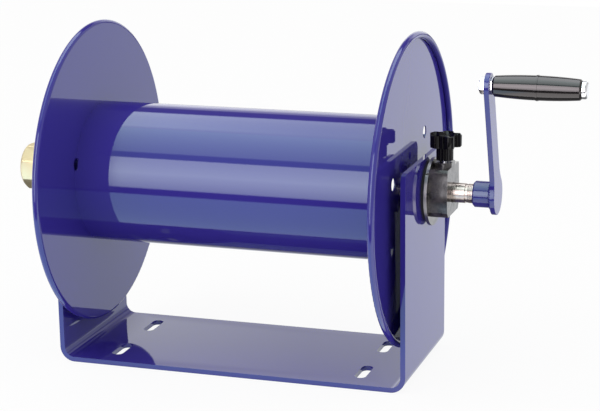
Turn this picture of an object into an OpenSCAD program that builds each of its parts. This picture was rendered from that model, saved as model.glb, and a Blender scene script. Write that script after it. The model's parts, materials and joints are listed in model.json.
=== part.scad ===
// Hand-crank hose reel: a drum between two rolled-edge discs, carried in a bent plate frame.
// Origin: centre of the base plate's underside. +X runs along the reel towards the crank,
// +Y to the back, +Z up. The crank is at rest a little forward of straight up.

/* [Frame] */
// Thickness of the bent base plate
plate_t = 4.8; // [4:0.1:6]
// Front-to-back depth of the base plate and uprights
frame_depth = 152.4; // [140:1:200]
// Gap between a disc's rolled edge and the upright beside it
side_gap = 6.4; // [5:0.2:20]
// Gap between the discs and the base plate
floor_gap = 20.6; // [8:0.2:40]
// Height of the uprights above the reel's axis
upright_rise = 34.2; // [33.2:0.2:60]
// How far the axis lies behind the middle of the base
axis_setback = 8; // [0:1:15]
// Inside radius of the two bends
bend_inner_r = 10; // [6:1:16]
// Radius of the uprights' top corners
upright_corner_r = 8; // [2:0.5:12]

/* [Mounting slots] */
// Distance between the left and right slots
slot_spacing_x = 254; // [230:1:270]
// Distance between the front and back slots
slot_spacing_y = 78.6; // [70:1:90]
// Width of a slot
slot_width = 11.2; // [9:0.1:13]
// Length of a slot over its round ends
slot_length = 35.6; // [25:0.5:42]

/* [Drum and discs] */
// Outer diameter of the two discs
disc_d = 304.8; // [290:1:320]
// Thickness of the disc sheet
disc_sheet = 1.2; // [1:0.1:2]
// Outer diameter of the rolled edge's section
rim_bead_d = 6.6; // [5:0.2:9]
// Distance between the discs' inner faces
drum_length = 321; // [300:1:400]
// Outer diameter of the drum
drum_d = 140.8; // [120:1:150]
// Thickness of the drum's rolled sheet
drum_sheet = 1.5; // [1.2:0.1:2.5]
// Diameter of the three holes in each disc
disc_hole_d = 12.7; // [9:0.1:15]
// Angle of the first disc hole, from the back towards the top
disc_hole_angle = 43; // [30:1:55]
// Length of the open slot along the drum, where the hose goes in
drum_slot_length = 270; // [200:1:280]
// Angle that the open slot spans
drum_slot_span = 50; // [36:1:56]
// Angle of the slot's middle, from the back towards the top
drum_slot_angle = -11; // [-20:1:-4]

/* [Axle] */
// Diameter of the shaft at the crank end
shaft_d = 19.05; // [16:0.05:20]
// Diameter of the hollow axle at the inlet end and of the crank shaft's shoulder
axle_d = 25.4; // [23:0.1:26]
// Diameter of the water passage in the hollow axle
passage_d = 13; // [10:0.5:14]
// Diameter of the threaded end that carries the crank
crank_thread_d = 18; // [14:0.1:18.4]
// Outer diameter of the flange on each disc's hub
disc_hub_flange_d = 62; // [50:1:100]
// Outer diameter of each disc hub's boss
disc_hub_boss_d = 38; // [34:1:48]
// Length of each disc hub
disc_hub_length = 10; // [8:1:12]
// Thickness of each disc hub's flange
disc_hub_flange_t = 4; // [3:0.5:5]

/* [Bearing housings] */
// Diameter of the housing's flange
housing_flange_d = 66; // [64:1:72]
// Thickness of the housing's flange
housing_flange_t = 3; // [2.5:0.1:4]
// Gap between the upright and the flange, filled in the middle by the spigot
housing_standoff = 3.7; // [2.5:0.1:5]
// Length of the housing's body outside its flange
housing_body_length = 18; // [17:0.5:24]
// Width of the housing's body
housing_width = 49; // [47:0.5:54]
// Height of the body's top above the axis
housing_top = 26; // [25:0.5:30]
// Depth of the body's underside below the axis
housing_drop = 20.5; // [20:0.5:26]
// Corner chamfer on the body's underside
housing_chamfer = 5; // [4:0.5:9]
// Wall thickness of the bushings
bushing_wall = 3.2; // [2:0.1:4]

/* [Brake] */
// Diameter of the brake's screw
brake_screw_d = 10; // [8:0.5:11]
// Height of the knob's stem
knob_stem_h = 13.1; // [11:0.5:18]
// Diameter of the knob's stem
knob_stem_d = 16.4; // [15:0.2:20]
// Number of flutes round the knob's stem
knob_flutes = 18; // [10:1:24]
// Height of the knob's head
knob_head_h = 12; // [10:0.5:16]
// Diameter over the knob's lobes
knob_d = 32.4; // [30:0.2:42]
// Number of lobes on the knob
knob_lobes = 5; // [4:1:6]

/* [Crank] */
// Distance from the axis to the middle of the grip
crank_radius = 118.2; // [105:1:140]
// Angle of the crank at rest, forward of straight up
crank_lean = 18.5; // [0:0.5:25]
// Thickness of the arm
arm_t = 4.8; // [4:0.1:7]
// Width of the arm
arm_width = 24; // [20:0.5:28]
// Diameter of the arm's round end at the hub
arm_foot_d = 38; // [36:0.5:46]
// Diameter of the crank's hub
crank_hub_d = 25.4; // [24:0.2:30]
// Length of the crank's hub
crank_hub_length = 18.5; // [16:0.5:24]
// Bare shaft between the brake housing and the crank's hub
shaft_reach = 20.8; // [16:0.5:30]

/* [Grip] */
// Length of the grip
grip_length = 82; // [70:1:110]
// Diameter of the grip at its middle
grip_d = 23; // [22:0.5:28]
// Diameter of the grip at its ends
grip_end_d = 19.2; // [18:0.2:21]
// Diameter of the bolt that the grip turns on
grip_bolt_d = 9.5; // [8:0.1:10.5]

/* [Inlet] */
// Distance across the corners of the brass inlet body
inlet_d = 48; // [44:0.5:52]
// Length of the brass inlet body
inlet_length = 33.5; // [31:0.5:40]
// Diameter of the inlet's threaded mouth
inlet_thread_d = 24.2; // [23:0.1:27]
// Depth of the inlet's threaded mouth
inlet_thread_depth = 16; // [14:0.5:18]
// Diameter of the journal that the inlet body turns on
journal_d = 20.8; // [19:0.1:21.2]

/* [Outlet] */
// Diameter of the riser tube from the axle to the outlet
riser_d = 18; // [16:0.5:19]
// Wall of the riser tube
riser_wall = 2.5; // [2:0.1:3.5]
// Distance from the axle's middle to the outlet's centre line
riser_height = 40; // [38:0.5:43]
// Radius of the riser's bend
riser_bend_r = 15; // [12:0.5:16]
// Distance across the flats of the outlet fitting
outlet_flats = 27; // [25:0.5:29]
// Length of the outlet fitting
outlet_length = 18; // [16:0.5:21]
// Diameter of the outlet's threaded mouth
outlet_thread_d = 18.6; // [17:0.1:19.5]
// Where the riser stands along the drum, from the middle
riser_x = -95; // [-110:1:-70]

/* [Hidden] */
FINE = 96;
MEDIUM = 64;
SMALL = 32;
EPS = 0.01;

run_fit = 0.06;
bolt_fit = 0.25;
face_gap = 0.3;

disc_inner_x = drum_length / 2;
rim_bead_r = rim_bead_d / 2;
disc_r = disc_d / 2;
frame_width = drum_length + 2 * (rim_bead_d + side_gap + plate_t);
axis_height = plate_t + floor_gap + disc_r;
upright_height = axis_height + upright_rise;
drum_r = drum_d / 2;
curl_gap = 0.6;
disc_hole_ring_r = drum_r - 1.9;
drum_notch_depth = 2.2;
hole_angles = [for (i = [0 : 2]) disc_hole_angle + 120 * i];

upright_x = frame_width / 2;
upright_inner_x = upright_x - plate_t;
bend_outer_r = bend_inner_r + plate_t;
spare_hole_r = 4.3;
spare_hole_yz = [37.5, 24.7];

shaft_r = shaft_d / 2;
axle_r = axle_d / 2;
shaft_bushing_r = shaft_r + run_fit + bushing_wall;
axle_bushing_r = axle_r + run_fit + bushing_wall;

housing_flange_x = upright_x + housing_standoff;
housing_body_x = housing_flange_x + housing_flange_t;
housing_end_x = housing_body_x + housing_body_length;
housing_mid_x = (housing_body_x + housing_end_x) / 2 + 0.6;
housing_bolt_d = 6;
housing_bolt_head_h = 4;
housing_bolt_flats = 10;
bolt_edge = housing_bolt_d / 2 + 2;
bolt_high = [housing_width / 2 - bolt_edge - 2, housing_top - bolt_edge - 3.5];
bolt_low = [housing_width / 2 - bolt_edge - 1, housing_drop - bolt_edge - 3];
housing_bolts_yz = [
    for (side = [-1, 1]) [side * bolt_high[0], bolt_high[1]],
    for (side = [-1, 1]) [side * bolt_low[0], -bolt_low[1]]
];
housing_bolt_tip_x = housing_body_x + 11;
spigot_r = norm(bolt_high) + housing_bolt_d / 2 + 1.8;
brake_lip = 2;
shaft_mouth_gap = 0.4;

washer_t = 2.2;
shoulder_x = upright_inner_x - washer_t;
washer_shaft_d = 2 * shaft_bushing_r - 1;
hub_inner_x = disc_inner_x - disc_hub_length;

axle_end_x = housing_end_x + washer_t + face_gap;
inlet_collar_t = 6;
inlet_collar_flats = 34;
inlet_collar_x = axle_end_x + inlet_collar_t;
inlet_right_x = inlet_collar_x + face_gap;
inlet_left_x = inlet_right_x + inlet_length;
ring_t = 1.2;
ring_land = 1.6;
inlet_relief_depth = ring_t + ring_land + 0.4;
inlet_relief_d = inlet_thread_d + 1.2;
inlet_seat_x = inlet_left_x - inlet_thread_depth - inlet_relief_depth;
journal_tip_x = inlet_seat_x + ring_t + ring_land;
journal_r = journal_d / 2;
seal_section_r = 1.3;
seal_places = [0.3, 0.7];
stem_thread_r = passage_d / 2 + 2.8;
stem_thread_depth = 12;
stem_bore_r = passage_d / 2 - 1;

hub_x = housing_end_x + shaft_reach;
neck_x = hub_x - 7;
neck_groove_w = 1;
arm_x = hub_x + crank_hub_length;
arm_face_x = arm_x + arm_t;
crank_thread_r = crank_thread_d / 2;
set_screw_r = 3;
set_screw_x = hub_x + crank_hub_length * 0.45;

spacer_t = 1.8;
spacer_flats = 14;
grip_x = arm_face_x + spacer_t + face_gap;
grip_end_x = grip_x + grip_length;
bolt_head_x = grip_end_x + face_gap;
bolt_head_h = 4.7;
bolt_head_d = grip_end_d - 2.6;
nut_t = 5.4;
nut_flats = 14;
nut_x = arm_x - nut_t;
grip_bolt_r = grip_bolt_d / 2;

screw_r = brake_screw_d / 2;
boss_h = 4;
boss_top = housing_top + boss_h;
boss_r = knob_stem_d / 2 + 2.8;
pad_lift = 0.25;
pad_h = 8;
pad_bottom = shaft_r + pad_lift;
pad_top = pad_bottom + pad_h;
knob_gap = 1.6;
knob_bottom = boss_top + knob_gap;
knob_head_bottom = knob_bottom + knob_stem_h;
lobe_r = knob_d * 0.16;
lobe_ring_r = knob_d / 2 - lobe_r;

riser_angle = drum_slot_angle - 49;
riser_r = riser_d / 2;
axle_closed_x = riser_x + riser_r;
axle_end_wall = 6;

// Places children on the reel's axis, their own z along +X and their own y towards the back.
module on_axis(x = 0) {
    translate([x, axis_setback, axis_height])
        rotate([0, 90, 0])
            children();
}

// Turns children about the axis, from the back towards the top.
module at_angle(angle, r = 0) {
    rotate([0, 0, angle])
        translate([0, r, 0])
            children();
}

// Places children at a point of the upright, measured back and up from the axis.
module at_yz(point) {
    translate([-point[1], point[0], 0])
        children();
}

// A hexagonal prism or plate, given its distance across flats.
module hexagon(flats, h) {
    cylinder(r = flats / sqrt(3), h = h, $fn = 6);
}

// The frame seen from the front: a block with two round lower corners.
module bent_block(half, r, floor_z, top_z) {
    translate([-half, floor_z + r])
        square([2 * half, top_z - floor_z - r]);
    translate([-half + r, floor_z])
        square([2 * (half - r), r]);
    for (side = [-1, 1])
        translate([side * (half - r), floor_z + r])
            circle(r, $fn = FINE);
}

// The frame seen from the side, with its rounded top corners.
module upright_outline() {
    r = upright_corner_r;
    translate([-frame_depth / 2, -r])
        square([frame_depth, upright_height]);
    translate([-frame_depth / 2 + r, upright_height - r])
        square([frame_depth - 2 * r, r]);
    for (side = [-1, 1])
        translate([side * (frame_depth / 2 - r), upright_height - r])
            circle(r, $fn = MEDIUM);
}

module mounting_slot() {
    straight = slot_length - slot_width;
    translate([0, 0, -1])
        linear_extrude(plate_t + 2) {
            square([slot_width, straight], center = true);
            for (end = [-1, 1])
                translate([0, end * straight / 2])
                    circle(slot_width / 2, $fn = FINE);
        }
}

module base_frame() {
    color([0.24, 0.21, 0.55])
        difference() {
            intersection() {
                rotate([90, 0, 0])
                    linear_extrude(frame_depth + 2, center = true)
                        difference() {
                            bent_block(upright_x, bend_outer_r, 0, upright_height);
                            bent_block(
                                upright_inner_x, bend_inner_r, plate_t, upright_height + 1
                            );
                        }
                rotate([90, 0, 90])
                    linear_extrude(frame_width + 2, center = true)
                        upright_outline();
            }
            for (sx = [-1, 1], sy = [-1, 1])
                translate([sx * slot_spacing_x / 2, sy * slot_spacing_y / 2, 0])
                    mounting_slot();
            on_axis(upright_inner_x - 1)
                cylinder(r = shaft_bushing_r + EPS, h = plate_t + 2, $fn = FINE);
            on_axis(-upright_x - 1)
                cylinder(r = axle_bushing_r + EPS, h = plate_t + 2, $fn = FINE);
            for (side = [-1, 1], place = housing_bolts_yz)
                on_axis(side * (upright_x - plate_t / 2))
                    at_yz(place)
                        cylinder(
                            r = housing_bolt_d / 2 + bolt_fit, h = plate_t + 2,
                            center = true, $fn = SMALL
                        );
            for (end = [-1, 1])
                on_axis()
                    at_yz([end * spare_hole_yz[0], spare_hole_yz[1]])
                        cylinder(r = spare_hole_r, h = frame_width + 2, center = true, $fn = MEDIUM);
        }
}

// Half section of a disc: flat web, then a rolled edge that curls outwards and stays open.
module disc_section() {
    bead_x = disc_r - rim_bead_r;
    difference() {
        union() {
            translate([axle_r + 0.2, 0])
                square([bead_x - axle_r - 0.2, disc_sheet]);
            translate([bead_x, rim_bead_r])
                difference() {
                    circle(rim_bead_r, $fn = MEDIUM);
                    circle(rim_bead_r - disc_sheet, $fn = MEDIUM);
                }
        }
        translate([bead_x - rim_bead_r - 1, disc_sheet])
            square([rim_bead_r + 1, curl_gap]);
    }
}

// A disc with its web's inner face at its own z = 0 and its rolled edge above it.
module disc_blank() {
    rotate_extrude($fn = 180)
        disc_section();
}

module disc_holes(h) {
    for (angle = hole_angles)
        at_angle(angle, disc_hole_ring_r)
            translate([0, 0, -h / 2])
                cylinder(r = disc_hole_d / 2, h = h, $fn = MEDIUM);
}

module left_disc() {
    color([0.24, 0.21, 0.55])
        on_axis(-disc_inner_x)
            difference() {
                mirror([0, 0, 1])
                    disc_blank();
                disc_holes(4 * disc_sheet);
            }
}

module right_disc() {
    color([0.24, 0.21, 0.55])
        on_axis(disc_inner_x)
            difference() {
                disc_blank();
                disc_holes(4 * disc_sheet);
            }
}

// The open slot, punched straight through the drum's wall, with round corners.
module drum_slot() {
    corner = 8;
    steps = 8;
    x = drum_r * sin(drum_slot_span / 2) - corner;
    z = drum_slot_length / 2 - corner;
    middles = [[x, z], [-x, z], [-x, -z], [x, -z]];
    rotate([-90, 0, 0])
        linear_extrude(drum_r + 5)
            polygon([
                for (i = [0 : 3], k = [0 : steps])
                    middles[i] + corner * [
                        cos(90 * (i + k / steps)), sin(90 * (i + k / steps))
                    ]
            ]);
}

module drum_shell() {
    color([0.24, 0.22, 0.6])
        on_axis()
            difference() {
                cylinder(r = drum_r, h = drum_length, center = true, $fn = 180);
                cylinder(r = drum_r - drum_sheet, h = drum_length + 2, center = true, $fn = 180);
                rotate([0, 0, drum_slot_angle])
                    drum_slot();
                for (end = [-1, 1])
                    translate([0, 0, end * drum_length / 2])
                        disc_holes(2 * drum_notch_depth);
            }
}

// The hollow axle at the inlet end, closed just past the riser.
module inlet_axle() {
    color([0.62, 0.6, 0.58])
        difference() {
            on_axis(-axle_end_x)
                cylinder(r = axle_r, h = axle_end_x + axle_closed_x + axle_end_wall, $fn = FINE);
            on_axis(-axle_end_x - 1)
                cylinder(r = passage_d / 2, h = axle_end_x + 1 + axle_closed_x, $fn = FINE);
            on_axis(-axle_end_x - 1)
                cylinder(r = stem_thread_r + run_fit, h = stem_thread_depth + 1, $fn = FINE);
            on_axis(riser_x)
                at_angle(riser_angle)
                    rotate([-90, 0, 0])
                        cylinder(r = riser_r - riser_wall, h = axle_r + 1, $fn = MEDIUM);
        }
}

// The stub shaft in the right disc's hub: shoulder, bearing length, groove and threaded end.
module crank_shaft() {
    color([0.62, 0.6, 0.58])
        difference() {
            union() {
                on_axis(hub_inner_x)
                    cylinder(r = axle_r, h = shoulder_x - hub_inner_x, $fn = FINE);
                on_axis(shoulder_x - EPS)
                    cylinder(r = shaft_r, h = neck_x - shoulder_x + EPS, $fn = FINE);
                on_axis(neck_x)
                    cylinder(r = crank_thread_r, h = arm_x - neck_x, $fn = FINE);
            }
            on_axis(neck_x - neck_groove_w)
                difference() {
                    cylinder(r = shaft_r + 1, h = neck_groove_w, $fn = FINE);
                    translate([0, 0, -1])
                        cylinder(r = crank_thread_r - 0.8, h = neck_groove_w + 2, $fn = FINE);
                }
        }
}

// A collar welded inside a disc: a round flange on the web and a boss round the shaft.
module disc_hub() {
    difference() {
        union() {
            cylinder(r = disc_hub_flange_d / 2, h = disc_hub_flange_t, $fn = FINE);
            cylinder(r = disc_hub_boss_d / 2, h = disc_hub_length, $fn = FINE);
            translate([0, 0, disc_hub_flange_t])
                cylinder(
                    r1 = disc_hub_boss_d / 2 + 3, r2 = disc_hub_boss_d / 2, h = 3, $fn = FINE
                );
        }
        translate([0, 0, -1])
            cylinder(r = axle_r + run_fit, h = disc_hub_length + 2, $fn = FINE);
    }
}

module left_disc_hub() {
    color([0.24, 0.21, 0.55])
        on_axis(-disc_inner_x)
            disc_hub();
}

module right_disc_hub() {
    color([0.24, 0.21, 0.55])
        on_axis(disc_inner_x)
            mirror([0, 0, 1])
                disc_hub();
}

// Lays children along the riser: their own z away from the axle, their own x along the outlet.
module on_riser() {
    on_axis(riser_x)
        at_angle(riser_angle)
            rotate([-90, 0, 0])
                rotate([0, 0, 180])
                    children();
}

module riser_bend(r) {
    translate([riser_bend_r, 0, riser_height - riser_bend_r])
        rotate([90, 0, 0])
            rotate([0, 0, 90])
                rotate_extrude(angle = 90, $fn = FINE)
                    translate([riser_bend_r, 0])
                        circle(r, $fn = MEDIUM);
}

// The riser starts on the hollow axle's surface, so the end of the tube is saddle-shaped.
module outlet_riser() {
    color([0.62, 0.6, 0.58])
        difference() {
            on_riser() {
                cylinder(r = riser_r, h = riser_height - riser_bend_r, $fn = MEDIUM);
                riser_bend(riser_r);
            }
            on_riser() {
                translate([0, 0, -1])
                    cylinder(
                        r = riser_r - riser_wall, h = riser_height - riser_bend_r + 1,
                        $fn = MEDIUM
                    );
                riser_bend(riser_r - riser_wall);
            }
            on_axis(riser_x)
                cylinder(r = axle_r, h = 4 * riser_r, center = true, $fn = FINE);
        }
}

module outlet_fitting() {
    color([0.85, 0.73, 0.45])
        on_riser()
            translate([riser_bend_r, 0, riser_height])
                rotate([0, 90, 0])
                    difference() {
                        hexagon(outlet_flats, outlet_length);
                        translate([0, 0, -1])
                            cylinder(
                                r = riser_r - riser_wall, h = outlet_length + 2, $fn = MEDIUM
                            );
                        translate([0, 0, 3])
                            cylinder(r = outlet_thread_d / 2, h = outlet_length, $fn = FINE);
                    }
}

// Outline of the housing's body, back and up from the axis, with a chamfered underside.
module housing_outline() {
    w = housing_width / 2;
    c = housing_chamfer;
    rotate([0, 0, 90])
        polygon([
            [-w, -housing_drop + c], [-w + c, -housing_drop], [w - c, -housing_drop],
            [w, -housing_drop + c], [w, housing_top - 3], [w - 3, housing_top],
            [-w + 3, housing_top], [-w, housing_top - 3]
        ]);
}

// A cast bearing housing, from the upright outwards. Its spigot holds the flange off the plate.
module housing_casting(bore_r, bore_length) {
    body_start = housing_body_x - upright_x;
    difference() {
        union() {
            cylinder(r = spigot_r, h = body_start, $fn = FINE);
            translate([0, 0, housing_standoff])
                cylinder(r = housing_flange_d / 2, h = housing_flange_t, $fn = FINE);
            translate([0, 0, body_start])
                linear_extrude(housing_body_length)
                    housing_outline();
        }
        translate([0, 0, -1])
            cylinder(r = bore_r + EPS, h = bore_length + 1, $fn = FINE);
        for (place = housing_bolts_yz)
            at_yz(place)
                translate([0, 0, -1])
                    cylinder(
                        r = housing_bolt_d / 2 + EPS, h = housing_bolt_tip_x - upright_x + 1.5,
                        $fn = SMALL
                    );
    }
}

module brake_housing() {
    color([0.36, 0.34, 0.34])
        difference() {
            union() {
                on_axis(upright_x)
                    housing_casting(shaft_bushing_r, housing_end_x - upright_x - brake_lip);
                intersection() {
                    translate([housing_mid_x, axis_setback, axis_height + housing_top - EPS])
                        cylinder(r = boss_r, h = boss_h + EPS, $fn = FINE);
                    on_axis(housing_body_x)
                        cylinder(r = 2 * boss_top, h = housing_body_length, $fn = FINE);
                }
            }
            translate([housing_mid_x, axis_setback, axis_height])
                cylinder(r = screw_r, h = boss_top + 1, $fn = FINE);
            on_axis(housing_mid_x)
                cylinder(r = shaft_r + shaft_mouth_gap, h = housing_body_length, $fn = FINE);
        }
}

module inlet_housing() {
    color([0.36, 0.34, 0.34])
        on_axis(-upright_x)
            mirror([0, 0, 1])
                housing_casting(axle_bushing_r, housing_end_x - upright_x + 1);
}

module shaft_bushing() {
    length = housing_end_x - brake_lip - upright_inner_x;
    color([0.72, 0.56, 0.3])
        difference() {
            on_axis(upright_inner_x)
                difference() {
                    cylinder(r = shaft_bushing_r, h = length, $fn = FINE);
                    translate([0, 0, -1])
                        cylinder(r = shaft_r + run_fit, h = length + 2, $fn = FINE);
                }
            translate([housing_mid_x, axis_setback, axis_height])
                cylinder(r = screw_r, h = boss_top, $fn = FINE);
        }
}

module inlet_bushing() {
    length = housing_end_x - upright_inner_x;
    color([0.72, 0.56, 0.3])
        on_axis(-housing_end_x)
            difference() {
                cylinder(r = axle_bushing_r, h = length, $fn = FINE);
                translate([0, 0, -1])
                    cylinder(r = axle_r + run_fit, h = length + 2, $fn = FINE);
            }
}

// Four bolts from the inner side of an upright, their heads against the plate.
module housing_bolts() {
    for (place = housing_bolts_yz)
        at_yz(place) {
            translate([0, 0, -housing_bolt_head_h])
                hexagon(housing_bolt_flats, housing_bolt_head_h);
            cylinder(
                r = housing_bolt_d / 2, h = housing_bolt_tip_x - upright_inner_x, $fn = SMALL
            );
        }
}

module brake_housing_bolts() {
    color([0.78, 0.78, 0.76])
        on_axis(upright_inner_x)
            housing_bolts();
}

module inlet_housing_bolts() {
    color([0.78, 0.78, 0.76])
        on_axis(-upright_inner_x)
            mirror([0, 0, 1])
                housing_bolts();
}

module washer(outer_d, bore_r, t) {
    difference() {
        cylinder(r = outer_d / 2, h = t, $fn = FINE);
        translate([0, 0, -1])
            cylinder(r = bore_r, h = t + 2, $fn = FINE);
    }
}

// Runs between the crank shaft's shoulder and the inner end of its bushing.
module shaft_washer() {
    color([0.78, 0.78, 0.76])
        on_axis(shoulder_x)
            washer(washer_shaft_d, shaft_r + run_fit, washer_t - face_gap);
}

// Runs between the inlet housing's outer end and the collar of the inlet stem.
module inlet_washer() {
    color([0.78, 0.78, 0.76])
        on_axis(-axle_end_x)
            washer(2 * axle_bushing_r + 3, axle_r + run_fit, washer_t);
}

module seal_ring(place, grow = 0) {
    journal_length = inlet_seat_x - inlet_collar_x;
    translate([0, 0, -place * journal_length])
        rotate_extrude($fn = FINE)
            translate([journal_r - seal_section_r, 0])
                circle(seal_section_r + grow, $fn = SMALL);
}

// The brass stem screwed into the hollow axle: thread, hexagonal collar and the inlet's journal.
module inlet_stem() {
    color([0.85, 0.73, 0.45])
        difference() {
            union() {
                on_axis(-axle_end_x)
                    cylinder(r = stem_thread_r, h = stem_thread_depth, $fn = FINE);
                on_axis(-inlet_collar_x)
                    hexagon(inlet_collar_flats, inlet_collar_t);
                on_axis(-journal_tip_x)
                    cylinder(r = journal_r, h = journal_tip_x - inlet_collar_x, $fn = FINE);
            }
            on_axis(-journal_tip_x - 1)
                cylinder(r = stem_bore_r, h = journal_tip_x + 2, $fn = FINE);
            on_axis(-inlet_collar_x)
                for (place = seal_places)
                    seal_ring(place, 0.02);
            on_axis(-inlet_seat_x - ring_t - 0.1)
                washer(2 * journal_r + 2, journal_r - 1.2, ring_t + 0.1);
        }
}

module inlet_seals() {
    color([0.08, 0.08, 0.08])
        on_axis(-inlet_collar_x)
            for (place = seal_places)
                seal_ring(place);
}

// The brass body that the supply hose screws into: octagonal, its outer end turned round.
module inlet_body() {
    turned = 3;
    color([0.88, 0.78, 0.5])
        on_axis(-inlet_left_x)
            difference() {
                intersection() {
                    rotate([0, 0, 22.5])
                        cylinder(r = inlet_d / 2 + 0.3, h = inlet_length, $fn = 8);
                    union() {
                        cylinder(
                            r1 = inlet_d / 2 - turned, r2 = inlet_d / 2, h = turned, $fn = FINE
                        );
                        translate([0, 0, turned])
                            cylinder(r = inlet_d / 2, h = inlet_length - turned, $fn = FINE);
                    }
                }
                translate([0, 0, -1])
                    cylinder(r = inlet_thread_d / 2, h = inlet_thread_depth + 1 + EPS, $fn = FINE);
                translate([0, 0, inlet_thread_depth])
                    cylinder(r = inlet_relief_d / 2, h = inlet_relief_depth, $fn = FINE);
                cylinder(r = journal_r + run_fit, h = inlet_length + 1, $fn = FINE);
            }
}

// An open snap ring in the stem's groove, which keeps the inlet body on its journal.
module inlet_retaining_ring() {
    color([0.6, 0.6, 0.62])
        on_axis(-inlet_seat_x - ring_t)
            difference() {
                washer(inlet_thread_d - 0.8, journal_r - 1.1, ring_t - 0.05);
                translate([-2, 0, -1])
                    cube([4, inlet_thread_d, ring_t + 2]);
            }
}

// The pad under the brake's screw, hollowed to the shaft's curve.
module brake_pad() {
    color([0.5, 0.38, 0.25])
        difference() {
            translate([housing_mid_x, axis_setback, axis_height])
                cylinder(r = screw_r - run_fit, h = pad_top, $fn = FINE);
            on_axis(housing_mid_x)
                cylinder(r = pad_bottom, h = 4 * screw_r, center = true, $fn = FINE);
            translate([housing_mid_x, axis_setback, axis_height - 2 * shaft_r])
                cylinder(r = 2 * screw_r, h = 2 * shaft_r, $fn = FINE);
        }
}

module brake_screw() {
    color([0.78, 0.78, 0.76])
        translate([housing_mid_x, axis_setback, axis_height + pad_top])
            cylinder(r = screw_r - run_fit, h = knob_head_bottom + 4 - pad_top, $fn = FINE);
}

module knob_plan() {
    circle(lobe_ring_r, $fn = MEDIUM);
    for (i = [0 : knob_lobes - 1])
        rotate([0, 0, 15 + i * 360 / knob_lobes])
            translate([lobe_ring_r, 0])
                circle(lobe_r, $fn = SMALL);
}

// Cross-section of the knob's fluted stem.
module stem_plan() {
    flute_r = 1.1;
    flute_depth = 0.5;
    difference() {
        circle(knob_stem_d / 2, $fn = FINE);
        for (i = [0 : knob_flutes - 1])
            rotate([0, 0, i * 360 / knob_flutes])
                translate([knob_stem_d / 2 + flute_r - flute_depth, 0])
                    circle(flute_r, $fn = SMALL);
    }
}

// The moulded knob: a lobed head with chamfered edges on a fluted stem.
module brake_knob() {
    edge = 1.2;
    color([0.06, 0.06, 0.07])
        translate([housing_mid_x, axis_setback, axis_height + knob_bottom])
            difference() {
                union() {
                    linear_extrude(knob_stem_h + EPS)
                        stem_plan();
                    intersection() {
                        translate([0, 0, knob_stem_h])
                            linear_extrude(knob_head_h)
                                knob_plan();
                        union() {
                            translate([0, 0, knob_stem_h])
                                cylinder(
                                    r1 = knob_d / 2 - edge, r2 = knob_d / 2, h = edge, $fn = FINE
                                );
                            translate([0, 0, knob_stem_h + edge])
                                cylinder(
                                    r = knob_d / 2, h = knob_head_h - 2 * edge, $fn = FINE
                                );
                            translate([0, 0, knob_stem_h + knob_head_h - edge])
                                cylinder(
                                    r1 = knob_d / 2, r2 = knob_d / 2 - edge, h = edge, $fn = FINE
                                );
                        }
                    }
                }
                translate([0, 0, -1])
                    cylinder(
                        r = screw_r - run_fit + EPS, h = knob_stem_h + 4 + 1 + EPS, $fn = FINE
                    );
            }
}

// Places children on the back of the crank's hub, their own z away from the axis.
module on_set_screw() {
    on_axis(set_screw_x)
        at_angle(-crank_lean)
            rotate([-90, 0, 0])
                children();
}

module crank_hub() {
    chamfer = 1.5;
    color([0.27, 0.25, 0.6])
        difference() {
            on_axis(hub_x)
                difference() {
                    union() {
                        cylinder(
                            r1 = crank_hub_d / 2 - chamfer, r2 = crank_hub_d / 2, h = chamfer,
                            $fn = FINE
                        );
                        translate([0, 0, chamfer])
                            cylinder(
                                r = crank_hub_d / 2, h = crank_hub_length - chamfer, $fn = FINE
                            );
                    }
                    translate([0, 0, -1])
                        cylinder(
                            r = crank_thread_r + EPS, h = crank_hub_length + 2, $fn = FINE
                        );
                }
            on_set_screw()
                cylinder(r = set_screw_r, h = crank_hub_d, $fn = SMALL);
        }
}

module crank_set_screw() {
    depth = crank_hub_d / 2 - crank_thread_r;
    color([0.2, 0.2, 0.21])
        on_set_screw()
            translate([0, 0, crank_thread_r + 0.15])
                difference() {
                    cylinder(r = set_screw_r - EPS, h = depth - 0.6, $fn = SMALL);
                    translate([0, 0, depth - 2.4])
                        cylinder(r = 1.7, h = 3, $fn = 6);
                }
}

// Outline of the arm: a round foot that narrows through two hollow curves into a flat bar.
module arm_outline() {
    foot_r = arm_foot_d / 2;
    half = arm_width / 2;
    hollow_r = 40;
    hollow_x = half + hollow_r;
    hollow_y = sqrt(pow(foot_r + hollow_r, 2) - pow(hollow_x, 2));
    touch = foot_r / (foot_r + hollow_r);
    circle(foot_r, $fn = FINE);
    difference() {
        polygon([
            [-hollow_x * touch, hollow_y * touch], [hollow_x * touch, hollow_y * touch],
            [half, hollow_y], [-half, hollow_y]
        ]);
        for (side = [-1, 1])
            translate([side * hollow_x, hollow_y])
                circle(hollow_r, $fn = 180);
    }
    translate([-half, hollow_y])
        square([arm_width, crank_radius - hollow_y]);
    translate([0, crank_radius])
        circle(half, $fn = FINE);
}

// Places children where the grip's bolt passes through the arm.
module on_grip(x) {
    on_axis(x)
        at_angle(90 + crank_lean, crank_radius)
            children();
}

module crank_arm() {
    color([0.27, 0.25, 0.6])
        difference() {
            on_axis(arm_x)
                at_angle(90 + crank_lean)
                    linear_extrude(arm_t)
                        arm_outline();
            on_grip(arm_x - 1)
                cylinder(r = grip_bolt_r + bolt_fit, h = arm_t + 2, $fn = MEDIUM);
        }
}

module grip_bolt() {
    round_r = 2.4;
    color([0.8, 0.8, 0.8])
        union() {
            on_grip(nut_x - 1)
                cylinder(r = grip_bolt_r, h = bolt_head_x - nut_x + 1 + EPS, $fn = FINE);
            on_grip(bolt_head_x)
                rotate_extrude($fn = FINE) {
                    square([bolt_head_d / 2, bolt_head_h - round_r]);
                    square([bolt_head_d / 2 - round_r, bolt_head_h]);
                    translate([bolt_head_d / 2 - round_r, bolt_head_h - round_r])
                        intersection() {
                            circle(round_r, $fn = MEDIUM);
                            square(round_r);
                        }
                }
        }
}

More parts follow.
